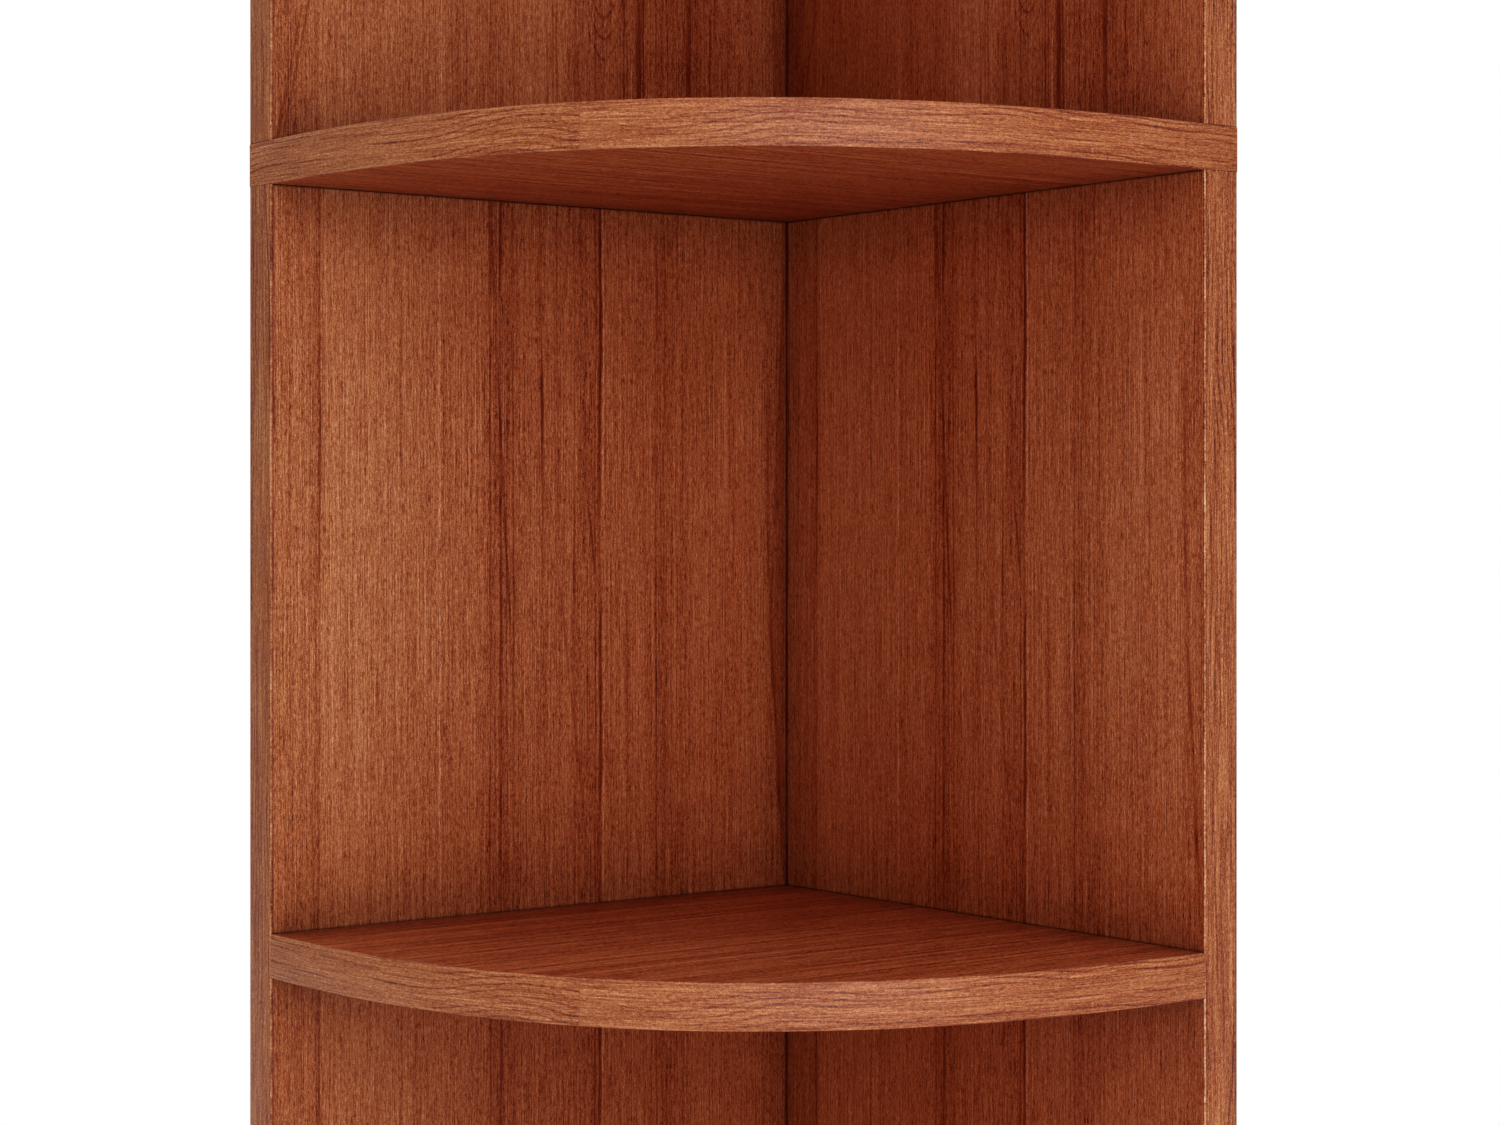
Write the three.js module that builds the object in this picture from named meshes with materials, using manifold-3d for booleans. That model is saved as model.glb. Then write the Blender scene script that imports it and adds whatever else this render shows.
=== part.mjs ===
// A tall corner shelf unit of wood-grain laminated board, in millimetres, +Z up.
// Two panels meet in the room's corner, at low X and high Y, and carry quarter-round boards with bowed fronts.
// Facing that corner, the left panel stands along low X and the right panel along high Y.
import * as THREE from "three";
import { mergeVertices } from "three/addons/utils/BufferGeometryUtils.js";
import Module from "manifold-3d";

const wasm = await Module();
wasm.setup();

// Boards, panels and compartments
const boardThickness = 18;
const innerSide = 265.5; // from the inner corner to a panel's front edge
const clearHeight = 305; // between one board and the next
const lowerCompartments = 3; // below the board that splits the panels
const upperCompartments = 2;
const bandThickness = 1;

// The bowed front, a quarter of a superellipse round the inner corner
const bowExponent = 2.56;
const bowFacets = 36;

// Places of the fasteners
const frontInset = 50; // from a panel's front edge
const rearInset = 50; // from the inner corner
const cornerScrewInset = 60; // from a panel's ends
const lowerCornerScrews = 3;
const upperCornerScrews = 2;

// Holes
const fit = 0.3; // gap round a fastener and beyond its end
const overrun = 2; // how far a cutter starts outside the face that it enters
const headSink = 0.2; // how far a screw's head or a cam lies below the face
const roundFacets = 12;

// Confirmat screw
const screwLength = 50;
const screwHeadRadius = 5;
const screwHeadRim = 0.8;
const screwNeckRadius = 3.5;
const screwNeckLength = 12;
const screwThreadRadius = 3.1;
const screwTipRadius = 1.6;
const screwTipLength = 5;

// Dowel
const dowelRadius = 4;
const dowelInEdge = 16; // depth in the end of a panel
const dowelInFace = 14; // depth in the underside of the top board
const dowelChamfer = 1;

// Cam, and the bolt that it draws in
const camInset = 24; // from the panel's end to the cam's centre
const camPocketRadius = 7.5;
const camCover = 3; // closed end of the cam, at the panel's outer face
const camWall = 2.6; // round the chamber that holds the bolt's head
const boltHoleRadius = 4;
const boltHeadRadius = 3.4;
const boltHeadLength = 2.6;
const boltNeckRadius = 2.2;
const boltCollarLength = 7; // guide collar, inside the panel's end
const boltThreadRadius = 2.7;
const boltThreadLength = 11;

// Nail-on glide
const glideHeight = 4;
const glideRadius = 10;
const glideChamfer = 1;
const glideNailRadius = 1.1;
const glideNailLength = 12;
const glideInset = 30; // from the outer faces
const frontGlideReach = 250; // from the inner corner, straight out under the bow

// Derived sizes and places
const half = (innerSide + boardThickness) / 2;
const innerX = -half + boardThickness;
const innerY = half - boardThickness;
const bandBack = innerSide - bandThickness;
const frontAlong = innerSide - frontInset;
const splitLevel = lowerCompartments;
const topLevel = lowerCompartments + upperCompartments;
const underside = (level) => glideHeight + level * (boardThickness + clearHeight);
const topside = (level) => underside(level) + boardThickness;
const camPocketDepth = boardThickness / 2 + boltHeadRadius + 2 * fit;
const camChamberRadius = camPocketRadius - fit - camWall;
// The bolt's head bears on the chamber's round wall, this far from the cam's centre
const boltShoulder = Math.sqrt((camChamberRadius - fit) ** 2 - boltHeadRadius ** 2);
const boltReach = camInset - boltShoulder + boltHeadLength; // of the bolt into a panel's end

const up = new THREE.Vector3(0, 0, 1);
const back = new THREE.Vector3(0, 1, 0);

// Point at a distance to the right of the inner corner and a distance forwards of it
const planPoint = (right, forwards, z = 0) => new THREE.Vector3(innerX + right, innerY - forwards, z);

// The two lines of panels. A place is a distance along from the inner corner and a depth from the outer face.
// The right panel starts at the inner corner and butts against the left one, which runs on behind it.
const lines = {
  left: {
    start: -boardThickness,
    inward: new THREE.Vector3(1, 0, 0),
    place: (along, depth, z) => planPoint(depth - boardThickness, along, z),
  },
  right: {
    start: 0,
    inward: new THREE.Vector3(0, -1, 0),
    place: (along, depth, z) => planPoint(along, depth - boardThickness, z),
  },
};

const finishes = {
  laminate: { color: 0x8f4424, roughness: 0.5, metalness: 0 },
  band: { color: 0xb0683f, roughness: 0.5, metalness: 0 },
  steel: { color: 0xb9bcc0, roughness: 0.35, metalness: 1 },
  zinc: { color: 0xa3a6a8, roughness: 0.5, metalness: 1 },
  beech: { color: 0xd3b084, roughness: 0.7, metalness: 0 },
  plastic: { color: 0x4a3527, roughness: 0.55, metalness: 0 },
};

function piece(name, geometry, finish) {
  const mesh = new THREE.Mesh(geometry, new THREE.MeshStandardMaterial(finishes[finish]));
  mesh.name = name;
  return mesh;
}

// Closed geometry as a solid that can be cut
function solidFrom(geometry) {
  const bare = geometry.clone();
  bare.deleteAttribute("normal");
  bare.deleteAttribute("uv");
  const merged = mergeVertices(bare);
  const corners = merged.index.array;
  const triVerts = [];
  for (let i = 0; i < corners.length; i += 3) {
    const [a, b, c] = corners.slice(i, i + 3);
    if (a !== b && b !== c && c !== a) triVerts.push(a, b, c);
  }
  return new wasm.Manifold(
    new wasm.Mesh({
      numProp: 3,
      vertProperties: merged.attributes.position.array,
      triVerts: new Uint32Array(triVerts),
    }),
  );
}

function geometryFrom(solid) {
  const { vertProperties, triVerts } = solid.getMesh();
  const geometry = new THREE.BufferGeometry();
  geometry.setAttribute("position", new THREE.BufferAttribute(vertProperties, 3));
  geometry.setIndex(new THREE.BufferAttribute(triVerts, 1));
  geometry.computeVertexNormals();
  return geometry;
}

// A box between any two opposite corners
function block(corner, opposite) {
  const box = new THREE.Box3().setFromPoints([corner, opposite]);
  const middle = box.getCenter(new THREE.Vector3());
  const size = box.getSize(new THREE.Vector3());
  const place = new THREE.Matrix4().compose(middle, new THREE.Quaternion(), size);
  return new THREE.BoxGeometry(1, 1, 1).applyMatrix4(place);
}

// A board of the given outline, its underside at a level
function slab(outline, level) {
  const shape = new THREE.Shape(outline.map(({ x, y }) => new THREE.Vector2(x, y)));
  const place = new THREE.Matrix4().makeScale(1, 1, boardThickness).setPosition(0, 0, underside(level));
  return new THREE.ExtrudeGeometry(shape, { depth: 1, bevelEnabled: false }).applyMatrix4(place);
}

// The bow from the right panel's front edge to the left one's, set back from the front
function bowLine(setBack) {
  const line = [];
  for (let i = 0; i <= bowFacets; i += 1) {
    const angle = ((i / bowFacets) * Math.PI) / 2;
    const right = i === bowFacets ? 0 : Math.cos(angle) ** (2 / bowExponent);
    const forwards = Math.sin(angle) ** (2 / bowExponent);
    const inset = new THREE.Vector2(right ** (bowExponent - 1), forwards ** (bowExponent - 1));
    inset.setLength(setBack);
    line.push(planPoint(right * innerSide - inset.x, forwards * innerSide - inset.y));
  }
  return line;
}

// A full board's front runs straight on over the ends of the panels
function frontLine(setBack, full) {
  const bow = bowLine(setBack);
  if (!full) return bow;
  const reach = innerSide - setBack;
  return [planPoint(reach, -boardThickness), ...bow, planPoint(-boardThickness, reach)];
}

function board(name, level, full) {
  const corner = full ? -boardThickness : 0;
  const outline = [planPoint(corner, corner), ...frontLine(bandThickness, full)];
  return piece(name, slab(outline, level), "laminate");
}

function boardBand(name, level, full) {
  const outline = [...frontLine(0, full), ...frontLine(bandThickness, full).reverse()];
  return piece(name, slab(outline, level), "band");
}

function panel(name, { start, place }, z0, z1) {
  const geometry = block(place(start, 0, z0), place(bandBack, boardThickness, z1));
  return piece(name, geometry, "laminate");
}

function panelBand(name, { place }, z0, z1) {
  const geometry = block(place(bandBack, 0, z0), place(innerSide, boardThickness, z1));
  return piece(name, geometry, "band");
}

// A solid turned round +Z from [radius, height] points that start and end on the axis
function turned(points) {
  const profile = points.map(([radius, height]) => new THREE.Vector2(radius, height));
  return new THREE.LatheGeometry(profile, roundFacets).rotateX(Math.PI / 2);
}

const rod = (radius, from, to) => [[0, from], [radius, from], [radius, to], [0, to]];

// A fastener and the hole drilled for it, both from one place along one direction, with +Y kept upright
function fastener(name, body, bore, finish, at, along) {
  const mesh = piece(name, body, finish);
  const upright = along === up ? back : up;
  const across = new THREE.Vector3().crossVectors(upright, along);
  mesh.applyMatrix4(new THREE.Matrix4().makeBasis(across, upright, along).setPosition(at));
  mesh.userData.bore = bore;
  return mesh;
}

// Outline of a confirmat screw, which is a head with a rim and a cone, a neck, and a thread
const screwTip = headSink + screwLength;
const screwConeEnd = headSink + screwHeadRim + screwHeadRadius - screwNeckRadius;

function screwBody() {
  return turned([
    [0, headSink],
    [screwHeadRadius, headSink],
    [screwHeadRadius, headSink + screwHeadRim],
    [screwNeckRadius, screwConeEnd],
    [screwNeckRadius, screwNeckLength],
    [screwThreadRadius, screwNeckLength],
    [screwThreadRadius, screwTip - screwTipLength],
    [screwTipRadius, screwTip],
    [0, screwTip],
  ]);
}

// The stepped hole that a confirmat drill leaves
function screwBore() {
  return turned([
    [0, -overrun],
    [screwHeadRadius + fit, -overrun],
    [screwHeadRadius + fit, headSink + screwHeadRim],
    [screwNeckRadius + fit, screwConeEnd],
    [screwNeckRadius + fit, screwNeckLength + fit],
    [screwThreadRadius + fit, screwNeckLength + fit],
    [screwThreadRadius + fit, screwTip + fit],
    [0, screwTip + fit],
  ]);
}

function confirmatScrew(name, at, along) {
  return fastener(name, screwBody(), screwBore(), "steel", at, along);
}

// Two screws through each panel into the edge of a shelf
function shelfScrews(shelf, level) {
  const z = underside(level) + boardThickness / 2;
  return Object.entries(lines).flatMap(([side, { inward, place }]) => [
    confirmatScrew(`${shelf}_${side}_rear_screw`, place(rearInset, 0, z), inward),
    confirmatScrew(`${shelf}_${side}_front_screw`, place(frontAlong, 0, z), inward),
  ]);
}

// Two screws up through the bottom board into the end of each panel
function baseScrews() {
  const middle = boardThickness / 2;
  return Object.entries(lines).flatMap(([side, { place }]) => [
    confirmatScrew(`base_${side}_rear_screw`, place(rearInset, middle, underside(0)), up),
    confirmatScrew(`base_${side}_front_screw`, place(frontAlong, middle, underside(0)), up),
  ]);
}

// A row of screws through the left panel into the right panel's edge
function cornerScrews(length, z0, z1, count) {
  const { inward, place } = lines.left;
  const first = z0 + cornerScrewInset;
  const pitch = (z1 - cornerScrewInset - first) / (count - 1);
  return Array.from({ length: count }, (_, i) =>
    confirmatScrew(
      `${length}_corner_screw_${i + 1}`,
      place(-boardThickness / 2, 0, first + i * pitch),
      inward,
    ),
  );
}

// A dowel that starts in the end of the panel below and goes up by a length
function dowel(name, at, length) {
  const body = turned([
    [0, 0],
    [dowelRadius - dowelChamfer, 0],
    [dowelRadius, dowelChamfer],
    [dowelRadius, length - dowelChamfer],
    [dowelRadius - dowelChamfer, length],
    [0, length],
  ]);
  const bore = turned(rod(dowelRadius + fit, -fit, length + fit));
  return fastener(name, body, bore, "beech", at, up);
}

// The head and neck of a cam bolt, up to its guide collar
const boltStart = [
  [0, 0],
  [boltHeadRadius, 0],
  [boltHeadRadius, boltHeadLength],
  [boltNeckRadius, boltHeadLength],
  [boltNeckRadius, boltReach - boltCollarLength],
  [boltHoleRadius - fit, boltReach - boltCollarLength],
];

// A bolt through the split board, with a head for the cam in the panel below and one for the cam above
function doubleBolt(name, at) {
  const length = 2 * boltReach + boardThickness;
  const mirrored = boltStart.map(([radius, height]) => [radius, length - height]).reverse();
  const body = turned([...boltStart, ...mirrored]);
  return fastener(name, body, turned(rod(boltHoleRadius, -fit, length + fit)), "steel", at, up);
}

// A bolt whose thread is driven into the underside of the top board
function singleBolt(name, at) {
  const tip = boltReach + boltThreadLength;
  const body = turned([
    ...boltStart,
    [boltHoleRadius - fit, boltReach],
    [boltThreadRadius, boltReach],
    [boltThreadRadius, tip],
    [0, tip],
  ]);
  const bore = turned([
    [0, -fit],
    [boltHoleRadius, -fit],
    [boltHoleRadius, boltReach + fit],
    [boltThreadRadius + fit, boltReach + fit],
    [boltThreadRadius + fit, tip + fit],
    [0, tip + fit],
  ]);
  return fastener(name, body, bore, "steel", at, up);
}

// A round cam in a pocket of the panel's outer face, cut away inside for the bolt's head and neck.
// The slot opens upwards at 1 and downwards at -1.
function cam(name, at, inward, opening) {
  const depth = camPocketDepth - fit;
  const radius = camPocketRadius - fit;
  const slotHalf = boltNeckRadius + fit;
  const slotTop = boardThickness / 2 - slotHalf;
  const chamber = solidFrom(turned(rod(camChamberRadius, camCover, depth + overrun)));
  const slotEnd = opening * (radius + overrun);
  const slot = solidFrom(
    block(
      new THREE.Vector3(-slotHalf, 0, slotTop),
      new THREE.Vector3(slotHalf, slotEnd, depth + overrun),
    ),
  );
  const disc = solidFrom(turned(rod(radius, headSink, depth)));
  const body = geometryFrom(disc.subtract(chamber).subtract(slot));
  const bore = turned(rod(camPocketRadius, -overrun, camPocketDepth));
  return fastener(name, body, bore, "zinc", at, inward);
}

// The panel lines' joints at the board that splits them: a bolt with two cams, and a dowel
function splitJoints() {
  const below = underside(splitLevel);
  const above = topside(splitLevel);
  const middle = boardThickness / 2;
  return Object.entries(lines).flatMap(([side, { inward, place }]) => [
    doubleBolt(`split_${side}_bolt`, place(frontAlong, middle, below - boltReach)),
    cam(`split_${side}_lower_cam`, place(frontAlong, 0, below - camInset), inward, 1),
    cam(`split_${side}_upper_cam`, place(frontAlong, 0, above + camInset), inward, -1),
    dowel(
      `split_${side}_dowel`,
      place(rearInset, middle, below - dowelInEdge),
      boardThickness + 2 * dowelInEdge,
    ),
  ]);
}

// The panel lines' joints to the top board: a bolt with its cam, and a dowel
function topJoints() {
  const below = underside(topLevel);
  const middle = boardThickness / 2;
  return Object.entries(lines).flatMap(([side, { inward, place }]) => [
    singleBolt(`top_${side}_bolt`, place(frontAlong, middle, below - boltReach)),
    cam(`top_${side}_cam`, place(frontAlong, 0, below - camInset), inward, 1),
    dowel(
      `top_${side}_dowel`,
      place(rearInset, middle, below - dowelInEdge),
      dowelInEdge + dowelInFace,
    ),
  ]);
}

// A plastic glide moulded round its nail
function glide(name, place) {
  const tip = glideHeight + glideNailLength;
  const body = turned([
    [0, 0],
    [glideRadius - glideChamfer, 0],
    [glideRadius, glideChamfer],
    [glideRadius, glideHeight],
    [glideNailRadius, glideHeight],
    [glideNailRadius, tip - glideNailRadius],
    [0, tip],
  ]);
  const bore = turned(rod(glideNailRadius + fit, glideHeight - overrun, tip + fit));
  return fastener(name, body, bore, "plastic", place, up);
}

function glides() {
  const rear = glideInset - boardThickness;
  const front = innerSide - glideInset;
  const bow = frontGlideReach / Math.SQRT2;
  return [
    glide("rear_glide", planPoint(rear, rear)),
    glide("left_glide", planPoint(rear, front)),
    glide("right_glide", planPoint(front, rear)),
    glide("front_glide", planPoint(bow, bow)),
  ];
}

// Boards from the floor up: name, level, and whether it lies over the ends of the panels
const boards = [
  ["bottom_board", 0, true],
  ...Array.from({ length: lowerCompartments - 1 }, (_, i) => [`lower_shelf_${i + 1}`, i + 1, false]),
  ["split_board", splitLevel, true],
  ...Array.from({ length: upperCompartments - 1 }, (_, i) => [
    `upper_shelf_${i + 1}`,
    splitLevel + i + 1,
    false,
  ]),
  ["top_board", topLevel, true],
];
const shelves = boards.filter(([, , full]) => !full);

// Panels: name, line, and the heights of its two ends
const lowerEnds = [topside(0), underside(splitLevel)];
const upperEnds = [topside(splitLevel), underside(topLevel)];
const panels = [
  ["lower_left_panel", lines.left, ...lowerEnds],
  ["lower_right_panel", lines.right, ...lowerEnds],
  ["upper_left_panel", lines.left, ...upperEnds],
  ["upper_right_panel", lines.right, ...upperEnds],
];

const fasteners = [
  ...glides(),
  ...baseScrews(),
  ...cornerScrews("lower", ...lowerEnds, lowerCornerScrews),
  ...cornerScrews("upper", ...upperEnds, upperCornerScrews),
  ...shelves.flatMap(([name, level]) => shelfScrews(name, level)),
  ...splitJoints(),
  ...topJoints(),
];

// All the holes in one solid, which every board and panel is drilled by
const holes = fasteners
  .map(({ userData, matrix }) => solidFrom(userData.bore.clone().applyMatrix4(matrix)))
  .reduce((all, hole) => all.add(hole));

function drilled(mesh) {
  mesh.geometry = geometryFrom(solidFrom(mesh.geometry).subtract(holes));
  return mesh;
}

const shelfUnit = new THREE.Group();
shelfUnit.name = "corner_shelf_unit";
shelfUnit.add(
  ...boards.map((each) => drilled(board(...each))),
  ...boards.map(([name, ...rest]) => boardBand(`${name}_band`, ...rest)),
  ...panels.map((each) => drilled(panel(...each))),
  ...panels.map(([name, ...rest]) => panelBand(`${name}_band`, ...rest)),
  ...fasteners,
);

export default shelfUnit;
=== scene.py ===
# A tall corner shelf unit of wood-grain laminated board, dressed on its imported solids. Metres, +Z up.
# Two panels meet in the corner, at low X and high Y, and carry quarter-round boards with bowed fronts.
import math

import bmesh
import bpy
from mathutils import Matrix, Vector


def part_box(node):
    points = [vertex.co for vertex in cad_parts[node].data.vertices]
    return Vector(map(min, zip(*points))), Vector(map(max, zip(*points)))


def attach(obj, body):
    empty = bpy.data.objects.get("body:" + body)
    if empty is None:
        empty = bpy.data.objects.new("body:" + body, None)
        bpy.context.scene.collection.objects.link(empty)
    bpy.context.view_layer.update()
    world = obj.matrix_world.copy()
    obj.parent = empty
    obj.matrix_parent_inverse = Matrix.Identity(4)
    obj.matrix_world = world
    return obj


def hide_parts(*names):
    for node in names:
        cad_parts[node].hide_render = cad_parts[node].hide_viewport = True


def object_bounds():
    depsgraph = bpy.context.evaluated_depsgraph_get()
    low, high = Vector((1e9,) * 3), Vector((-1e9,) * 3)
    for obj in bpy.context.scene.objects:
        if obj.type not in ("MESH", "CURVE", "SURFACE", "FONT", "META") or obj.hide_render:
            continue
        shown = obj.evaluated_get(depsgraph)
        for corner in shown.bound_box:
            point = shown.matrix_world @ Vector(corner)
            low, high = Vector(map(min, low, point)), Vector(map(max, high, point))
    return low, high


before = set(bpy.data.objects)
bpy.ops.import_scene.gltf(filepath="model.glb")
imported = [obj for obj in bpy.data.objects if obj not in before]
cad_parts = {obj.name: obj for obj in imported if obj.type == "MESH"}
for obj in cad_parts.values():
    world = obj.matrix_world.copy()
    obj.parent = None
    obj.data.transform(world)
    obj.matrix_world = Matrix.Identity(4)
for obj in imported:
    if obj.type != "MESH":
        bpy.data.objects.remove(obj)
cad_low, cad_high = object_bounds()
mm = 0.001

# The view: a level camera before the open corner, at eye height, looking at the middle compartment.
# Its lens, turn and place were worked out from the panels' edges, the corner line and the boards' bows.
photo_width, photo_height = 1500, 1125
horizon_row = 512.3

lens = bpy.data.cameras.new("camera")
lens.sensor_width = 36
lens.lens = 71.64
lens.shift_y = (horizon_row - photo_height / 2) / photo_width
camera = bpy.data.objects.new("camera", lens)
camera.location = (0.9610, -0.7189, 0.8395)
camera.rotation_euler = (math.radians(90), 0, math.radians(52.86))
bpy.context.scene.collection.objects.link(camera)
bpy.context.scene.camera = camera
bpy.context.scene.view_settings.view_transform = "Standard"

# The boards: 18 mm particle board faced with printed melamine, sawn to a quarter superellipse at the front.
# The bottom, split and top boards also lie over the panels' ends. The fasteners' holes are drilled in.
board_nodes = [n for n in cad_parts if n.endswith(("_board", "_shelf_1", "_shelf_2"))]
fastener_ends = ("_screw", "_bolt", "_dowel", "_cam", "_glide")
fastener_nodes = [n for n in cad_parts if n.endswith(fastener_ends) or "corner_screw" in n]
bow_exponent = 2.56
bow_steps = 144
band_thickness = 1 * mm
room_corner_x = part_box("lower_shelf_1")[0].x
room_corner_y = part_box("lower_shelf_1")[1].y
inner_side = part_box("lower_shelf_1_band")[1].x - room_corner_x
board_thickness = room_corner_x - cad_low.x


def add(tree, kind, links=(), **settings):
    """A node with its settings. The links give its sockets a value or another node, in order or by name."""
    made = tree.nodes.new(kind)
    for name, value in settings.items():
        setattr(made, name, value)
    by_socket = links if isinstance(links, dict) else dict(enumerate(links))
    for key, value in by_socket.items():
        sockets = [s for s in made.inputs if s.enabled]
        socket = sockets[key] if isinstance(key, int) else next(s for s in sockets if s.name == key)
        if isinstance(value, bpy.types.Node):
            value = next(s for s in value.outputs if s.enabled)
        if isinstance(value, bpy.types.NodeSocket):
            tree.links.new(value, socket)
        else:
            socket.default_value = value
    return made


def linear(code):
    """An sRGB hex colour as linear RGBA."""
    shares = [int(code[i : i + 2], 16) / 255 for i in (1, 3, 5)]
    return [s / 12.92 if s <= 0.04045 else ((s + 0.055) / 1.055) ** 2.4 for s in shares] + [1]


def new_tree(name, **inputs):
    """A tree of geometry nodes with named inputs. Gives the tree, its input node and its output node."""
    tree = bpy.data.node_groups.new(name, "GeometryNodeTree")
    tree.interface.new_socket("geometry", in_out="INPUT", socket_type="NodeSocketGeometry")
    tree.interface.new_socket("geometry", in_out="OUTPUT", socket_type="NodeSocketGeometry")
    for title, kind in inputs.items():
        tree.interface.new_socket(title, in_out="INPUT", socket_type="NodeSocket" + kind)
    return tree, tree.nodes.new("NodeGroupInput").outputs, tree.nodes.new("NodeGroupOutput").inputs


def grow(piece, tree, **values):
    """Adds a tree of geometry nodes to a piece, with a value for each named input."""
    modifier = piece.modifiers.new(tree.name, "NODES")
    modifier.node_group = tree
    for socket in tree.interface.items_tree:
        if socket.in_out == "INPUT" and socket.name in values:
            modifier[socket.identifier] = values[socket.name]


def end_tree(tree, shape, finish, result):
    """Ends a tree of geometry nodes with its shape as a real mesh in its material."""
    real = add(tree, "GeometryNodeRealizeInstances", {"Geometry": shape})
    faced = add(tree, "GeometryNodeSetMaterial", {"Geometry": real, "Material": finish})
    tree.links.new(faced.outputs[0], result[0])


def bow_tree():
    """A line of points along the bowed front, from the left panel to the right one."""
    tree, given, result = new_tree(
        "bow",
        steps="Int",
        side="Float",
        exponent="Float",
        set_back="Float",
        run_on="Float",
        corner="Vector",
    )
    runs = add(tree, "FunctionNodeCompare", {"A": given["run_on"], "B": 0.0}, operation="GREATER_THAN")
    more = add(tree, "ShaderNodeMath", (runs, 2, given["steps"]), operation="MULTIPLY_ADD")
    count = add(tree, "ShaderNodeMath", (more, 1), operation="ADD")
    line = add(tree, "GeometryNodeMeshLine", {"Count": count, "Offset": (0, 0, 0)})
    index = add(tree, "GeometryNodeInputIndex")
    step = add(tree, "ShaderNodeMath", (index, runs), operation="SUBTRACT")
    share = add(tree, "ShaderNodeMath", (step, given["steps"]), operation="DIVIDE", use_clamp=True)
    angle = add(tree, "ShaderNodeMath", (share, math.pi / 2), operation="MULTIPLY")
    cosine = add(tree, "ShaderNodeMath", (angle,), operation="COSINE", use_clamp=True)
    sine = add(tree, "ShaderNodeMath", (angle,), operation="SINE", use_clamp=True)
    ray = add(tree, "ShaderNodeCombineXYZ", {"X": sine, "Y": cosine})
    power = add(tree, "ShaderNodeMath", (2.0, given["exponent"]), operation="DIVIDE")
    slope_power = add(tree, "ShaderNodeMath", (2.0, power), operation="SUBTRACT")
    unit = add(tree, "ShaderNodeVectorMath", (ray, power), operation="POWER")
    slope = add(tree, "ShaderNodeVectorMath", (ray, slope_power), operation="POWER")
    outward = add(tree, "ShaderNodeVectorMath", (slope,), operation="NORMALIZE")
    inset = add(tree, "ShaderNodeVectorMath", (outward, given["set_back"]), operation="SCALE")
    front = add(tree, "ShaderNodeVectorMath", (unit, given["side"]), operation="SCALE")
    at = add(tree, "ShaderNodeVectorMath", (front, inset), operation="SUBTRACT")
    before = add(tree, "FunctionNodeCompare", {"A": step, "B": -0.5}, operation="LESS_THAN")
    last = add(tree, "ShaderNodeMath", (given["steps"], 0.5), operation="ADD")
    beyond = add(tree, "FunctionNodeCompare", {"A": step, "B": last}, operation="GREATER_THAN")
    ends = add(tree, "ShaderNodeCombineXYZ", {"X": before, "Y": beyond})
    run = add(tree, "ShaderNodeVectorMath", (ends, given["run_on"]), operation="SCALE")
    whole = add(tree, "ShaderNodeVectorMath", (at, run), operation="SUBTRACT")
    placed = add(
        tree,
        "ShaderNodeVectorMath",
        (whole, (1, -1, 0), given["corner"]),
        operation="MULTIPLY_ADD",
    )
    moved = add(tree, "GeometryNodeSetPosition", {"Geometry": line, "Position": placed})
    tree.links.new(moved.outputs[0], result[0])
    return tree


def slab_tree():
    """Closes a bow line at the rear corner and makes it a board."""
    tree, given, result = new_tree("slab", rear="Vector", thickness="Float", finish="Material")
    bow = add(tree, "GeometryNodeMeshToPoints", {"Mesh": given["geometry"]})
    rear = add(tree, "GeometryNodePoints", {"Count": 1, "Position": given["rear"]})
    both = add(tree, "GeometryNodeJoinGeometry")
    tree.links.new(rear.outputs[0], both.inputs[0])
    tree.links.new(bow.outputs[0], both.inputs[0])
    line = add(tree, "GeometryNodePointsToCurves", {"Points": both})
    loop = add(tree, "GeometryNodeSetSplineCyclic", {"Geometry": line, "Cyclic": True})
    face = add(tree, "GeometryNodeFillCurve", {"Curve": loop}, mode="NGONS")
    rise = add(tree, "ShaderNodeCombineXYZ", {"Z": given["thickness"]})
    raised = add(tree, "GeometryNodeExtrudeMesh", {"Mesh": face, "Offset": rise, "Individual": False})
    under = add(tree, "GeometryNodeFlipFaces", {"Mesh": face})
    shell = add(tree, "GeometryNodeJoinGeometry")
    tree.links.new(raised.outputs[0], shell.inputs[0])
    tree.links.new(under.outputs[0], shell.inputs[0])
    closed = add(tree, "GeometryNodeMergeByDistance", {"Geometry": shell, "Distance": 1e-5})
    parts = add(tree, "ShaderNodeSeparateXYZ", (given["rear"],))
    lift = add(tree, "ShaderNodeCombineXYZ", {"Z": parts.outputs["Z"]})
    closed = add(tree, "GeometryNodeSetPosition", {"Geometry": closed, "Offset": lift})
    end_tree(tree, closed, given["finish"], result)
    return tree


def new_piece(name, points=(), faces=(), edges=()):
    mesh = bpy.data.meshes.new(name)
    mesh.from_pydata([tuple(p) for p in points], edges, faces)
    piece = bpy.data.objects.new(name, mesh)
    bpy.context.scene.collection.objects.link(piece)
    return piece


def settle(piece):
    """Takes up what a piece's modifiers make as its own plain mesh."""
    bpy.context.view_layer.update()
    made = piece.evaluated_get(bpy.context.evaluated_depsgraph_get())
    mesh = bpy.data.meshes.new_from_object(made)
    mesh.name = piece.name
    piece.modifiers.clear()
    piece.data = mesh


def deliver(piece, nodes):
    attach(piece, "root")
    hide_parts(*nodes)


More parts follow.
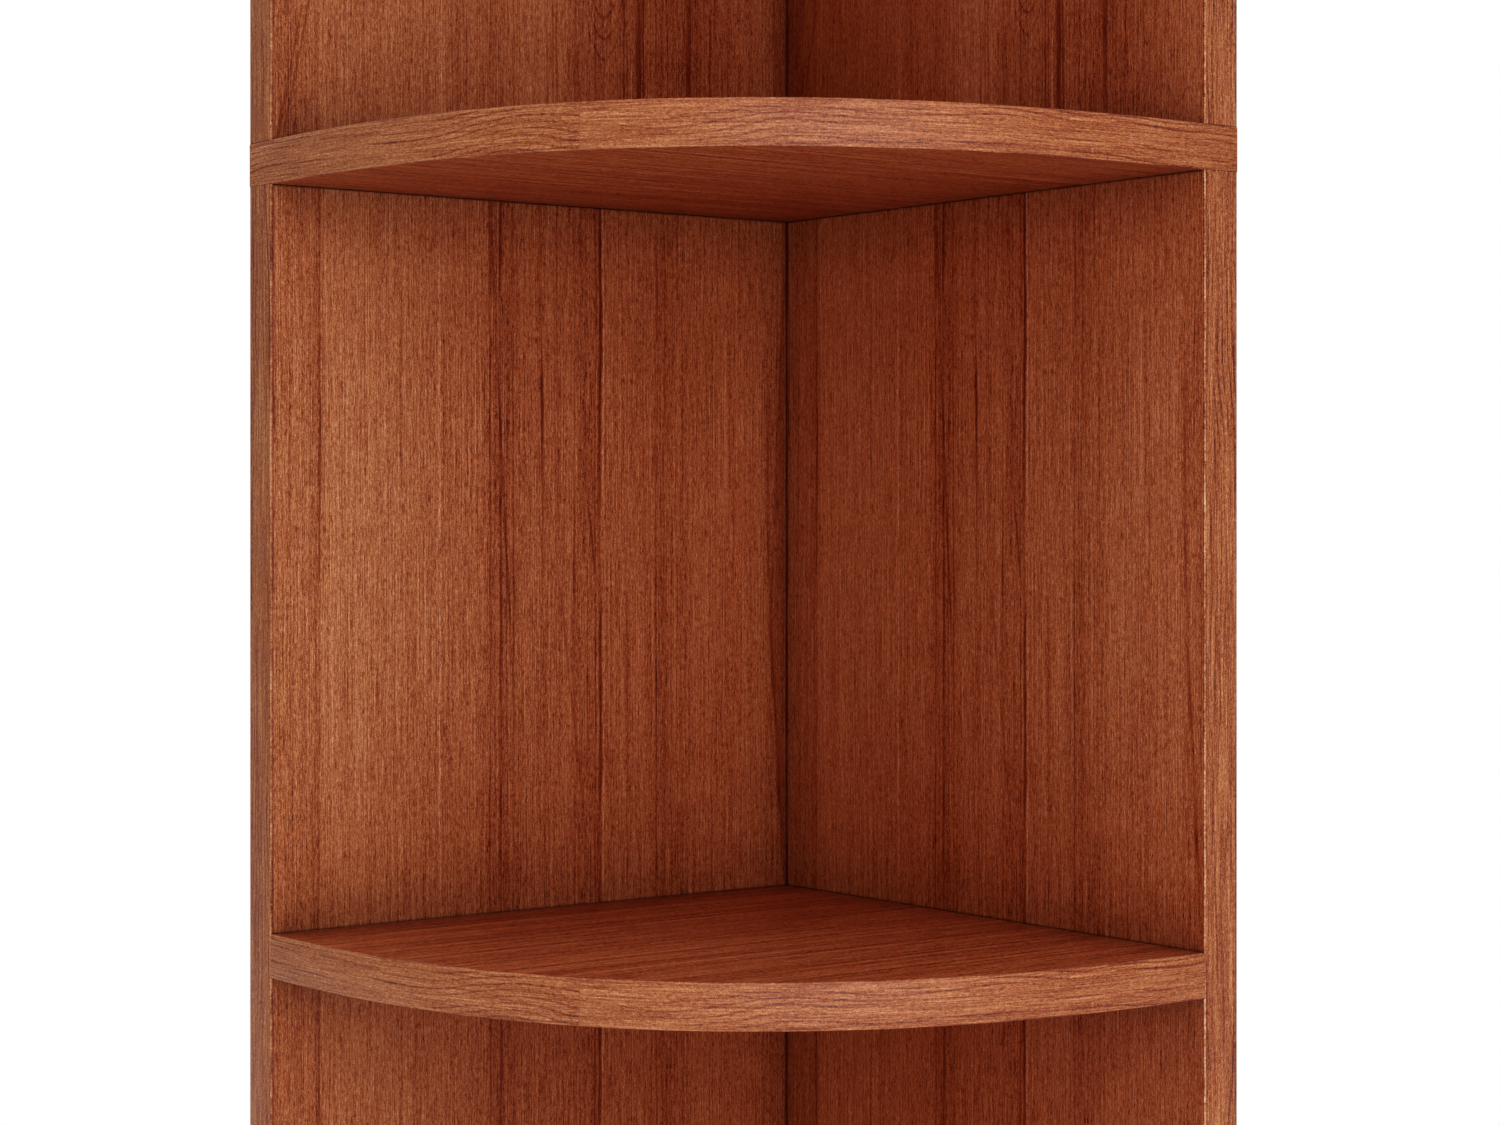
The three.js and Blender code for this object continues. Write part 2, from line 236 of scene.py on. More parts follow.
def seat(node):
    """A fastener's place: its outer end as the origin, and +Z into what it holds."""
    low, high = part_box(node)
    size = high - low
    middle_size = sorted(size)[1]
    axis = max(range(3), key=lambda i: abs(size[i] - middle_size))
    along = (Vector((1, 0, 0)), Vector((0, -1, 0)), Vector((0, 0, 1)))[axis]
    upright = Vector((0, 1, 0)) if axis == 2 else Vector((0, 0, 1))
    start = (low + high) / 2 - along * size[axis] / 2
    turn = Matrix((upright.cross(along), upright, along)).transposed()
    return Matrix.Translation(start) @ turn.to_4x4(), size[axis]


def turned(profile, place=Matrix(), segments=36):
    """Points and faces of a solid turned round +Z, from (radius, height) pairs that start and end on it.

    A third number gives that ring so many flat sides, at the radius from the axis.
    """
    points = [place @ Vector((0, 0, profile[0][1])), place @ Vector((0, 0, profile[-1][1]))]
    rings = profile[1:-1]
    for radius, height, *sides in rings:
        for i in range(segments):
            angle = 2 * math.pi * i / segments
            reach = radius
            if sides:
                half_side = math.pi / sides[0]
                reach = radius / math.cos(angle % (2 * half_side) - half_side)
            points.append(place @ Vector((reach * math.cos(angle), reach * math.sin(angle), height)))
    faces = []
    for i in range(segments):
        j = (i + 1) % segments
        faces.append((0, 2 + j, 2 + i))
        for k in range(len(rings) - 1):
            a, b = 2 + k * segments, 2 + (k + 1) * segments
            faces.append((a + i, a + j, b + j, b + i))
        last = 2 + (len(rings) - 1) * segments
        faces.append((1, last + i, last + j))
    return points, faces


clearance = 0.3 * mm
overrun = 2 * mm
cam_pocket_radius = 7.5 * mm
bolt_bore_radius = 4.0 * mm
dowel_bore_radius = 4.3 * mm
nail_bore_radius = 1.4 * mm
pad_thickness = 2 * mm


def bore(node):
    """Profile of the hole that a fastener's drill leaves."""
    deep = seat(node)[1] + clearance
    if node.endswith("_screw") or "corner_screw" in node:
        head, shank, core = (radius * mm + clearance for radius in (5, 3.5, 3.1))
        return [
            (0, -overrun),
            (head, -overrun),
            (head, 0.8 * mm),
            (shank, 2.3 * mm),
            (shank, 12.1 * mm),
            (core, 12.1 * mm),
            (core, deep),
            (0, deep),
        ]
    if node.endswith("_cam"):
        radius, start = cam_pocket_radius, -overrun
    elif node.endswith("_bolt"):
        radius, start = bolt_bore_radius, -clearance
    elif node.endswith("_dowel"):
        radius, start = dowel_bore_radius, -clearance
    else:
        radius, start = nail_bore_radius, pad_thickness
    return [(0, start), (radius, start), (radius, deep), (0, deep)]


def cut_away(piece, points, faces):
    """Cuts a shape out of a piece."""
    cutter = new_piece("cutter", points, faces)
    cut = piece.modifiers.new("cut", "BOOLEAN")
    cut.operation = "DIFFERENCE"
    cut.solver = "EXACT"
    cut.object = cutter
    settle(piece)
    bpy.data.objects.remove(cutter)


def touching(node):
    """Fasteners that reach into a board or a panel."""
    low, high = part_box(node)
    found = []
    for other in fastener_nodes:
        a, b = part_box(other)
        if all(a[i] < high[i] + clearance and b[i] > low[i] - clearance for i in range(3)):
            found.append(other)
    return found


def drill(piece, node):
    """Cuts the fasteners' holes, first those along and across the board and then the cams' pockets."""
    near = touching(node)
    cams = [n for n in near if n.endswith("_cam")]
    for group in ([n for n in near if n not in cams], cams):
        if not group:
            continue
        points, faces = [], []
        for other in group:
            more, skin = turned(bore(other), seat(other)[0])
            faces += [[len(points) + i for i in face] for face in skin]
            points += more
        cut_away(piece, points, faces)


def new_material(name):
    """A material with an empty tree. Gives the material and the tree."""
    material = bpy.data.materials.new(name)
    material.use_nodes = True
    material.node_tree.nodes.clear()
    return material, material.node_tree


def mottle(tree, place, across, along, seed, detail=2.0):
    """Mottling about 0.5, with patches of a given size in mm across and along the grain."""
    shift = (seed, 1.7 * seed, 2.3 * seed)
    scaled = add(
        tree,
        "ShaderNodeVectorMath",
        (place, (1 / across, 1 / along, 1), shift),
        operation="MULTIPLY_ADD",
    )
    look = {"Vector": scaled, "Scale": 1.0, "Detail": detail, "Roughness": 0.6}
    return add(tree, "ShaderNodeTexNoise", look)


def blend(tree, start, *parts):
    """Adds (part, amount) pairs to a starting value, each taken about its middle of 0.5."""
    total = start
    for part, amount in parts:
        centred = add(tree, "ShaderNodeMath", (part, 0.5), operation="SUBTRACT")
        total = add(tree, "ShaderNodeMath", (centred, amount, total), operation="MULTIPLY_ADD")
    return total


def grade(ramp, stops):
    """Gives a ramp its (place, colour) stops, or its (place, grey) ones."""
    stripe = ramp.color_ramp
    while len(stripe.elements) < len(stops):
        stripe.elements.new(1.0)
    for element, (at, colour) in zip(stripe.elements, stops):
        element.position = at
        element.color = linear(colour) if isinstance(colour, str) else (colour, colour, colour, 1)


def darkened(tree, tone, mark):
    """The tone without the share of it that a mark takes."""
    kept = add(tree, "ShaderNodeMath", (1.0, mark), operation="SUBTRACT")
    return add(tree, "ShaderNodeMath", (tone, kept), operation="MULTIPLY")


def solid_place(tree):
    """The place in the piece itself in mm, for what runs through the whole of it."""
    solid = add(tree, "ShaderNodeTexCoord")
    return add(tree, "ShaderNodeVectorMath", (solid.outputs["Object"], 1 / mm), operation="SCALE")


def sheet_place(tree):
    """The place on the printed sheet in mm: across the grain as X, along it as Y."""
    uv = add(tree, "ShaderNodeUVMap", uv_map="sheet")
    return add(tree, "ShaderNodeVectorMath", (uv, 1 / mm), operation="SCALE")


def surface(tree, colour, roughness, relief, more=()):
    """Ends a material with its surface."""
    links = {"Base Color": colour, "Roughness": roughness, "Normal": relief} | dict(more)
    shader = add(tree, "ShaderNodeBsdfPrincipled", links)
    add(tree, "ShaderNodeOutputMaterial", {"Surface": shader})


def printed(tree, tone, base, powers):
    """The print's colour: the base colour where the tone is 1, and redder as well as darker below it."""
    lowest = add(tree, "ShaderNodeMath", (tone, 0.1), operation="MAXIMUM")
    steps = add(tree, "ShaderNodeCombineXYZ", {"X": lowest, "Y": lowest, "Z": lowest})
    steps = add(tree, "ShaderNodeVectorMath", (steps, powers), operation="POWER")
    return add(tree, "ShaderNodeVectorMath", (steps, linear(base)[:3]), operation="MULTIPLY")


# Melamine foil with a satin cherry print: strips of straight grain, dark lines, growth lines, fibres and
# pores. The finest fibres and pores are drawn coarser than they are printed, so that they show.
laminate, tree = new_material("cherry_grain_melamine")
place = sheet_place(tree)
parts = add(tree, "ShaderNodeSeparateXYZ", (place,))
across, along = parts.outputs["X"], parts.outputs["Y"]
waver = blend(tree, across, (mottle(tree, place, 40, 90, 3.1), 2.2), (mottle(tree, place, 2, 16, 8.4), 1.2))
print_width = 283.5
share = add(tree, "ShaderNodeMath", (waver, print_width), operation="DIVIDE", use_clamp=True)

# The straight strips, by where each begins in mm and how light it is. The upper panels have another print.
lower_strips = (
    (0, 1.25), (19, 1.2), (20, 1.05), (22, 1.05), (23, 1.4), (38, 1.4), (80, 1.2), (103, 1.15),
    (105, 0.95), (112, 0.85), (122, 1.1), (149, 1.1), (151, 0.95), (158, 0.95), (164, 1.1),
    (180, 1.25), (195, 1.0), (209, 1.1), (211, 1.2), (252, 1.2), (262, 1.05), (print_width, 0.9),
)
upper_strips = (
    (0, 0.95), (12, 1.0), (14, 1.3), (21, 1.15), (23, 1.5), (28, 1.35), (84, 1.35), (86, 1.1),
    (94, 1.15), (97, 1.35), (106, 1.1), (120, 1.45), (142, 1.5), (144, 1.25), (164, 1.05),
    (192, 1.0), (196, 0.85), (228, 0.9), (240, 1.15), (262, 1.15), (print_width, 1.0),
)
lower = add(tree, "ShaderNodeValToRGB", (share,))
upper = add(tree, "ShaderNodeValToRGB", (share,))
for sheet, strips in ((lower, lower_strips), (upper, upper_strips)):
    grade(sheet, [(begin / print_width, light / 2) for begin, light in strips])
upper_from = 982
on_upper = add(
    tree,
    "ShaderNodeMapRange",
    (along, upper_from - 2, upper_from + 2),
    interpolation_type="SMOOTHSTEP",
)
strip = add(tree, "ShaderNodeMix", {"Factor": on_upper, "A": lower, "B": upper})
strip = add(tree, "ShaderNodeMath", (strip, 2.0), operation="MULTIPLY")

# Growth lines, which swell in the middle of the sheet, pores, and streaks and fibres from 240 mm down to
# half a millimetre long.
middle_at, middle_reach = 160, 26
in_middle = add(tree, "ShaderNodeMath", (across, middle_at, middle_reach), operation="COMPARE")
swell = add(tree, "ShaderNodeMath", (in_middle, 26.0, 7.0), operation="MULTIPLY_ADD")
drift = blend(tree, 0.0, (mottle(tree, place, 34, 230, 5.2, 1.0), swell))
ring_spacing = 3.1
ring = add(tree, "ShaderNodeMath", (across, drift), operation="ADD")
ring = add(tree, "ShaderNodeMath", (ring, ring_spacing), operation="DIVIDE")
ring = add(tree, "ShaderNodeMath", (ring,), operation="FRACT")
ring = add(tree, "ShaderNodeMath", (ring, 2.5), operation="POWER")
pores = add(
    tree,
    "ShaderNodeMapRange",
    (mottle(tree, place, 0.6, 5.0, 1.9, 1.0), 0.55, 0.70),
    interpolation_type="SMOOTHSTEP",
)
board_print_at = 325
on_boards = add(
    tree,
    "ShaderNodeMapRange",
    (across, board_print_at - 5, board_print_at + 5),
    interpolation_type="SMOOTHSTEP",
)
streaks = add(tree, "ShaderNodeMath", (on_boards, 1.7, 0.5), operation="MULTIPLY_ADD")
tone = blend(
    tree,
    strip,
    (ring, -0.20),
    (pores, -0.46),
    (mottle(tree, place, 0.5, 110, 4.4, 1.0), 1.7),
    (mottle(tree, place, 2.3, 240, 6.3), streaks),
    (mottle(tree, place, 0.5, 16, 2.2, 1.0), 1.8),
    (mottle(tree, place, 0.45, 2.4, 9.2, 1.0), 2.3),
    (mottle(tree, place, 0.4, 0.5, 7.1), 2.8),
    (on_boards, -0.20),
)

# Flames in the print: nested arches that open upwards, by the place of the lowest tip and their reach.
arches = 11
for tip_across, tip_along, half_reach, height in (
    (164, 1033, 22, 100),
    (60, 130, 24, 330),
    (206, 1240, 20, 260),
):
    aside = add(tree, "ShaderNodeMath", (waver, tip_across), operation="SUBTRACT")
    square = add(tree, "ShaderNodeMath", (aside, 2.0), operation="POWER")
    above = add(tree, "ShaderNodeMath", (along, tip_along), operation="SUBTRACT")
    level = add(tree, "ShaderNodeMath", (square, -height / half_reach**2, above), operation="MULTIPLY_ADD")
    level = blend(tree, level, (mottle(tree, place, 12, 40, 3.6), 10.0))
    arch = add(tree, "ShaderNodeMath", (level, height / arches), operation="DIVIDE")
    arch = add(tree, "ShaderNodeMath", (arch, 0.5), operation="PINGPONG")
    arch = add(tree, "ShaderNodeMapRange", (arch, 0.34, 0.49, 0.0, 0.55), interpolation_type="SMOOTHSTEP")
    inside = add(tree, "ShaderNodeMapRange", (level, -2, 6), interpolation_type="SMOOTHSTEP")
    low_end = add(
        tree,
        "ShaderNodeMapRange",
        (above, height * 0.8, height * 1.4, 1.0, 0.0),
        interpolation_type="SMOOTHSTEP",
    )
    arch = add(tree, "ShaderNodeMath", (arch, inside), operation="MULTIPLY")
    arch = add(tree, "ShaderNodeMath", (arch, low_end), operation="MULTIPLY")
    tone = add(tree, "ShaderNodeMath", (tone, arch), operation="SUBTRACT")

# Single lines: where each is at its lower and upper end, its half width, and its share of dark, all in mm.
# Their heights are taken from the top of the third board.
third_board = 668
line_end = 12
uneven = add(
    tree,
    "ShaderNodeMapRange",
    (mottle(tree, place, 9, 55, 2.9), 0.38, 0.60, 0.4, 1.25),
    interpolation_type="SMOOTHSTEP",
)
for low_at, low_z, high_at, high_z, half_width, darkness in (
    (0.8, -900, 0.8, 900, 0.8, 0.45),
    (22.3, -900, 22.3, 316, 0.6, 0.38),
    (80.2, -900, 80.2, 900, 0.6, -0.25),
    (104.8, -900, 105.2, 900, 0.6, 0.30),
    (110.6, -900, 110.2, 316, 0.7, 0.38),
    (117.2, -900, 116.6, 900, 0.6, 0.33),
    (115.0, 120, 105.5, 300, 0.8, 0.42),
    (132.4, 150, 130.2, 330, 1.0, 0.50),
    (139.4, 170, 138.6, 900, 0.5, 0.24),
    (148.8, -900, 148.2, 900, 0.6, 0.32),
    (159.4, -900, 159.2, 900, 0.5, 0.30),
    (161.7, -900, 161.7, 316, 0.9, 0.52),
    (163.6, -900, 163.4, 316, 0.6, -0.22),
    (161.0, 136, 155.5, 176, 0.7, 0.45),
    (153.0, 40, 141.0, 140, 0.6, 0.25),
    (175.8, -900, 176.4, 900, 0.5, 0.20),
    (192.2, -900, 191.8, 900, 0.6, 0.28),
    (195.5, -200, 196.5, 300, 0.6, 0.22),
    # The next two lines are painted shade beside the corner of the left panels; on the right panels they
    # lie by the front edge.
    (264.0, 0, 255.2, 125, 1.1, 0.62),
    (255.2, 125, 254.0, 230, 0.9, 0.38),
    (2.3, 320, 13.9, 376, 0.8, 0.30),
    (4.8, 320, 22.0, 400, 0.7, 0.26),
    (134.2, 314, 132.8, 900, 0.6, 0.32),
    (136.8, 314, 138.5, 900, 0.6, 0.30),
    (149.4, 314, 149.0, 900, 0.6, 0.26),
    (182.3, 314, 181.8, 900, 2.0, 0.45),
    (185.0, 314, 184.4, 900, 0.6, 0.50),
    (178.8, 314, 178.6, 900, 0.5, -0.35),
    (174.5, 314, 174.0, 900, 0.7, 0.45),
    (209.8, 314, 210.4, 900, 2.0, 0.40),
    (214.2, 314, 214.0, 900, 0.5, 0.30),
    (221.5, 314, 221.8, 900, 0.5, 0.40),
):
    path = add(
        tree,
        "ShaderNodeMapRange",
        (along, third_board + low_z, third_board + high_z, low_at, high_at),
    )
    off = add(tree, "ShaderNodeMath", (waver, path), operation="SUBTRACT")
    off = add(tree, "ShaderNodeMath", (off,), operation="ABSOLUTE")
    mark = add(
        tree,
        "ShaderNodeMapRange",
        (off, 0.3 * half_width, 1.3 * half_width, darkness, 0.0),
        interpolation_type="SMOOTHSTEP",
    )
    low, high = third_board + low_z, third_board + high_z
    rise = add(
        tree,
        "ShaderNodeMapRange",
        (along, low - line_end, low + line_end),
        interpolation_type="SMOOTHSTEP",
    )
    fall = add(
        tree,
        "ShaderNodeMapRange",
        (along, high - line_end, high + line_end, 1.0, 0.0),
        interpolation_type="SMOOTHSTEP",
    )
    mark = add(tree, "ShaderNodeMath", (mark, rise), operation="MULTIPLY")
    mark = add(tree, "ShaderNodeMath", (mark, fall), operation="MULTIPLY")
    mark = add(tree, "ShaderNodeMath", (mark, uneven), operation="MULTIPLY")
    tone = darkened(tree, tone, mark)

# Painted shade: the print is darker and redder deep inside a compartment, and darker below the third board.
openness = add(tree, "ShaderNodeAmbientOcclusion", {"Distance": 200 * mm}, samples=8)
deep = add(tree, "ShaderNodeMapRange", (openness.outputs["AO"], 0.35, 0.95, 0.80, 1.05))
tone = add(tree, "ShaderNodeMath", (tone, deep), operation="MULTIPLY")
painted_low_shade = add(tree, "ShaderNodeMapRange", (along, 610, 740, 0.91, 1.0), interpolation_type="SMOOTHSTEP")
tone = add(tree, "ShaderNodeMath", (tone, painted_low_shade), operation="MULTIPLY")
# Painted shade also makes the print redder where the compartment is deep.
less_red = add(tree, "ShaderNodeMapRange", (openness.outputs["AO"], 0.35, 0.95, 0.90, 1.05))
batch = add(tree, "ShaderNodeAttribute", attribute_name="batch")

# Painted shade: a dark strip runs up the left panels beside the corner, and is widest above the third
# board. The upper right panel has painted shade at the corner too, and is paler towards the front.
upper_right = add(tree, "ShaderNodeMath", (on_upper, batch.outputs["Fac"]), operation="MULTIPLY")
others = add(tree, "ShaderNodeMath", (on_boards, batch.outputs["Fac"]), operation="ADD")
lefts = add(tree, "ShaderNodeMath", (1.0, others), operation="SUBTRACT")
widest = third_board + 125
corner_shade_from = add(tree, "ShaderNodeMapRange", (along, third_board, widest, 263.6, 254.8))
narrowing = add(tree, "ShaderNodeMapRange", (along, widest, third_board + 297, 0.0, 8.7))
corner_shade_from = add(tree, "ShaderNodeMath", (corner_shade_from, narrowing), operation="ADD")
wider_on_upper = 6.5
corner_shade_from = add(tree, "ShaderNodeMath", (on_upper, -wider_on_upper, corner_shade_from), operation="MULTIPLY_ADD")
in_corner_shade = add(tree, "ShaderNodeMath", (across, corner_shade_from), operation="SUBTRACT")
for panel, at, near, beyond, darkness in (
    (upper_right, across, 40, 140, 0.20),
    (lefts, in_corner_shade, 1.2, 0, 0.27),
):
    mark = add(
        tree,
        "ShaderNodeMapRange",
        (at, near, beyond, darkness, 0.0),
        interpolation_type="SMOOTHSTEP",
    )
    mark = add(tree, "ShaderNodeMath", (mark, panel), operation="MULTIPLY")
    tone = darkened(tree, tone, mark)
# The print is redder on the boards, and a little less red under 40 mm across, fading out by 120 mm. Painted
# light makes the right panels redder, as light reflected off the left panels makes them.
for part, green_off, green_on in (
    (add(tree, "ShaderNodeMapRange", (across, 40, 120), interpolation_type="SMOOTHSTEP"), 1.05, 0.99),
    (on_boards, 1.0, 0.84),
    (batch.outputs["Fac"], 1.0, 0.88),
):
    kept = add(
        tree,
        "ShaderNodeMapRange",
        (part, 0, 1, green_off, green_on),
        interpolation_type="SMOOTHSTEP",
    )
    less_red = add(tree, "ShaderNodeMath", (less_red, kept), operation="MULTIPLY")
hue = add(tree, "ShaderNodeCombineXYZ", {"X": 1.0, "Y": less_red, "Z": less_red})
colour = printed(tree, tone, "#98401d", (1.0, 2.0, 2.7))
colour = add(tree, "ShaderNodeVectorMath", (colour, hue), operation="MULTIPLY")

# Painted shade darkens the colour within 30 mm of a crease, and most in the fine joint between two boards,
# where it also stands for the dark joint line.
for distance, shade_low, shade_high, darkest in ((30 * mm, 0.3, 1.0, 0.62), (1.3 * mm, 0.5, 0.95, 0.12)):
    hidden = add(tree, "ShaderNodeAmbientOcclusion", {"Distance": distance}, samples=8)
    shade = add(tree, "ShaderNodeMapRange", (hidden.outputs["AO"], shade_low, shade_high, darkest, 1.0))
    colour = add(tree, "ShaderNodeVectorMath", (colour, shade), operation="SCALE")

# The foil's embossed pores scatter what it mirrors, so that little of its gloss is left.
gloss = blend(tree, 0.5, (pores, 0.12), (mottle(tree, place, 12, 60, 7.7), 0.10))
relief = add(tree, "ShaderNodeBump", {"Strength": 0.25, "Distance": 0.00005, "Height": pores}, invert=True)
surface(tree, colour, gloss, relief, {"Specular IOR Level": 0.18})

# The core: pressed wood chips, bare on the sawn edges and in the drilled holes, pale, speckled and rough.
raw_board, tree = new_material("sawn_particle_board")
place = solid_place(tree)
chips = add(tree, "ShaderNodeTexVoronoi", {"Vector": place, "Scale": 0.7, "Randomness": 1.0})
chip = add(tree, "ShaderNodeSeparateColor", {"Color": chips.outputs["Color"]})
mixed = blend(tree, 0.5, (chip, 0.7), (mottle(tree, place, 0.6, 0.6, 3.3), 0.5))
colour = add(tree, "ShaderNodeValToRGB", (mixed,))
grade(colour, [(0.0, "#75553a"), (0.35, "#a5825c"), (0.65, "#c4a47c"), (1.0, "#dcc4a0")])
relief = add(tree, "ShaderNodeBump", {"Strength": 0.6, "Distance": 0.0003, "Height": mixed})
surface(tree, colour, 0.85, relief)


def face_with_print(piece, normal_axis, across, along, batch=0.0):
    """Gives the laminated faces their place on the printed sheet, and the others the raw core."""
    mesh = piece.data
    mesh.materials.clear()
    mesh.materials.append(laminate)
    mesh.materials.append(raw_board)
    sheet = mesh.uv_layers.new(name="sheet")
    # The right panels' faces are marked 1; the laminate paints them redder, as painted light, and with
    # painted shade near the upper corner.
    right_panel_flag = mesh.attributes.new("batch", "FLOAT", "FACE")
    for face in mesh.polygons:
        right_panel_flag.data[face.index].value = batch
        faced = abs(face.normal[normal_axis]) > 0.5
        face.material_index = 0 if faced else 1
        for corner in face.loop_indices:
            at = mesh.vertices[mesh.loops[corner].vertex_index].co
            sheet.data[corner].uv = (across(at), along(at))


bow = bow_tree()
slab = slab_tree()
for node in board_nodes:
    low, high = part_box(node)
    full = low.x < room_corner_x - band_thickness
    run_on = board_thickness if full else 0.0
    board = new_piece(node + "_faced")
    corner = (room_corner_x, room_corner_y, low.z)
    grow(
        board,
        bow,
        steps=bow_steps,
        side=inner_side,
        exponent=bow_exponent,
        set_back=band_thickness,
        run_on=run_on,
        corner=corner,
    )
    grow(board, slab, rear=(low.x, high.y, low.z), thickness=high.z - low.z, finish=laminate)
    settle(board)
    drill(board, node)
    level = round(low.z / (high.z - low.z))
    face_with_print(board, 2, lambda at: at.x + 0.7 + 0.013 * level, lambda at: at.y + 0.31 * level)
    deliver(board, [node])

# The boards' edge bands: 1 mm plastic edging with one splice, glued round the bow and trimmed. Its print is
# lighter, glossier and more orange than the foil's. The right panels' bands take theirs from 600 mm on, and
# the left ones' from 2000 mm on.
edge_band, tree = new_material("printed_edge_band")
place = sheet_place(tree)
parts = add(tree, "ShaderNodeSeparateXYZ", (place,))
height, run = parts.outputs["X"], parts.outputs["Y"]
right_run, left_run = 600, 2000
panels_begin = (right_run - 100, right_run - 10)
lefts_begin = (left_run - 400, left_run - 100)
splice_at = 176
splice_jump = (1.7, 90, 0)
spliced = add(
    tree,
    "ShaderNodeMapRange",
    (run, splice_at - 0.15, splice_at + 0.15),
    interpolation_type="SMOOTHSTEP",
)
jump = add(tree, "ShaderNodeCombineXYZ", {"X": spliced, "Y": spliced})
place = add(tree, "ShaderNodeVectorMath", (jump, splice_jump, place), operation="MULTIPLY_ADD")
shifted = add(tree, "ShaderNodeSeparateXYZ", (place,))
drift = blend(
    tree,
    shifted.outputs["X"],
    (mottle(tree, place, 60, 90, 4.1, 1.0), 17.0),
    (mottle(tree, place, 6, 30, 6.6), 2.4),
)
vein_spacing = 2.7
ring = add(tree, "ShaderNodeMath", (drift, vein_spacing), operation="DIVIDE")
ring = add(tree, "ShaderNodeMath", (ring, 0.5), operation="PINGPONG")
vein = add(tree, "ShaderNodeMapRange", (ring, 0.28, 0.48), interpolation_type="SMOOTHSTEP")
broken = add(
    tree,
    "ShaderNodeMapRange",
    (mottle(tree, place, 9, 100, 8.2, 1.0), 0.42, 0.58, 0.15, 1.0),
    interpolation_type="SMOOTHSTEP",
)
vein = add(tree, "ShaderNodeMath", (vein, broken), operation="MULTIPLY")
pores = add(
    tree,
    "ShaderNodeMapRange",
    (mottle(tree, place, 0.4, 3.2, 1.9, 1.0), 0.55, 0.70),
    interpolation_type="SMOOTHSTEP",
)
# Painted shade darkens the panels' bands a little, and painted light makes the left panels' bands lighter
# again.
panel_bands_painted_shade = add(
    tree,
    "ShaderNodeMapRange",
    (run, *panels_begin, 0.5, 0.455),
    interpolation_type="SMOOTHSTEP",
)
left_bands_painted_light = add(
    tree,
    "ShaderNodeMapRange",
    (run, *lefts_begin, 0.5, 0.575),
    interpolation_type="SMOOTHSTEP",
)
# Painted light: the band is lighter at the left end of the bow and darker towards the right.
bow_run = 440
painted_light_along_bow = add(tree, "ShaderNodeMapRange", (run, 0, bow_run, 0.62, 0.40), interpolation_type="SMOOTHSTEP")
mean_tone = 0.84
tone = blend(
    tree,
    mean_tone,
    (painted_light_along_bow, 1.0),
    (vein, -0.42),
    (pores, -0.18),
    (spliced, 0.07),
    (panel_bands_painted_shade, 1.0),
    (left_bands_painted_light, 1.0),
    (mottle(tree, place, 3.0, 70, 2.7), 0.8),
    (mottle(tree, place, 0.5, 22, 9.3, 1.0), 1.5),
    (mottle(tree, place, 0.45, 2.4, 3.9, 1.0), 1.35),
    (mottle(tree, place, 0.4, 0.5, 5.8), 1.9),
)

# The print stands out more on the panels' bands. One dark line slants across the top of the lower left one.
contrast = add(tree, "ShaderNodeMapRange", (run, *panels_begin, 1.0, 1.15), interpolation_type="SMOOTHSTEP")
off_mean = add(tree, "ShaderNodeMath", (tone, mean_tone), operation="SUBTRACT")
tone = add(tree, "ShaderNodeMath", (off_mean, contrast, mean_tone), operation="MULTIPLY_ADD")
slant_from = left_run + 900
slant = add(tree, "ShaderNodeMapRange", (run, slant_from, slant_from + 51, 8.4, 4.1))
off = add(tree, "ShaderNodeMath", (height, slant), operation="SUBTRACT")
off = add(tree, "ShaderNodeMath", (off,), operation="ABSOLUTE")
mark = add(tree, "ShaderNodeMapRange", (off, 0.2, 0.6, 0.6, 0.0), interpolation_type="SMOOTHSTEP")
reached = add(
    tree,
    "ShaderNodeMapRange",
    (run, slant_from - 60, slant_from),
    interpolation_type="SMOOTHSTEP",
)
mark = add(tree, "ShaderNodeMath", (mark, reached), operation="MULTIPLY")
tone = darkened(tree, tone, mark)

# The splice's butt is darker. Painted shade darkens the joint round the band, where it also stands for the
# dark joint line, and the band's arrises along both edges.
nearness = add(tree, "ShaderNodeMath", (run, splice_at, 0.35), operation="COMPARE")
butt = add(tree, "ShaderNodeMapRange", (nearness, 0, 1, 1.0, 0.92), interpolation_type="SMOOTHSTEP")
tone = add(tree, "ShaderNodeMath", (tone, butt), operation="MULTIPLY")
joint = add(tree, "ShaderNodeAmbientOcclusion", {"Distance": 1.0 * mm}, samples=8)
gap = add(
    tree,
    "ShaderNodeMapRange",
    (joint.outputs["AO"], 0.5, 0.9, 0.45, 1.0),
    interpolation_type="SMOOTHSTEP",
)
tone = add(tree, "ShaderNodeMath", (tone, gap), operation="MULTIPLY")
side_at = 9
from_middle = add(tree, "ShaderNodeMath", (height,), operation="ABSOLUTE")
arris_shade = add(
    tree,
    "ShaderNodeMapRange",
    (from_middle, side_at - 0.3, side_at - 0.1, 1.0, 0.75),
    interpolation_type="SMOOTHSTEP",
)
tone = add(tree, "ShaderNodeMath", (tone, arris_shade), operation="MULTIPLY")

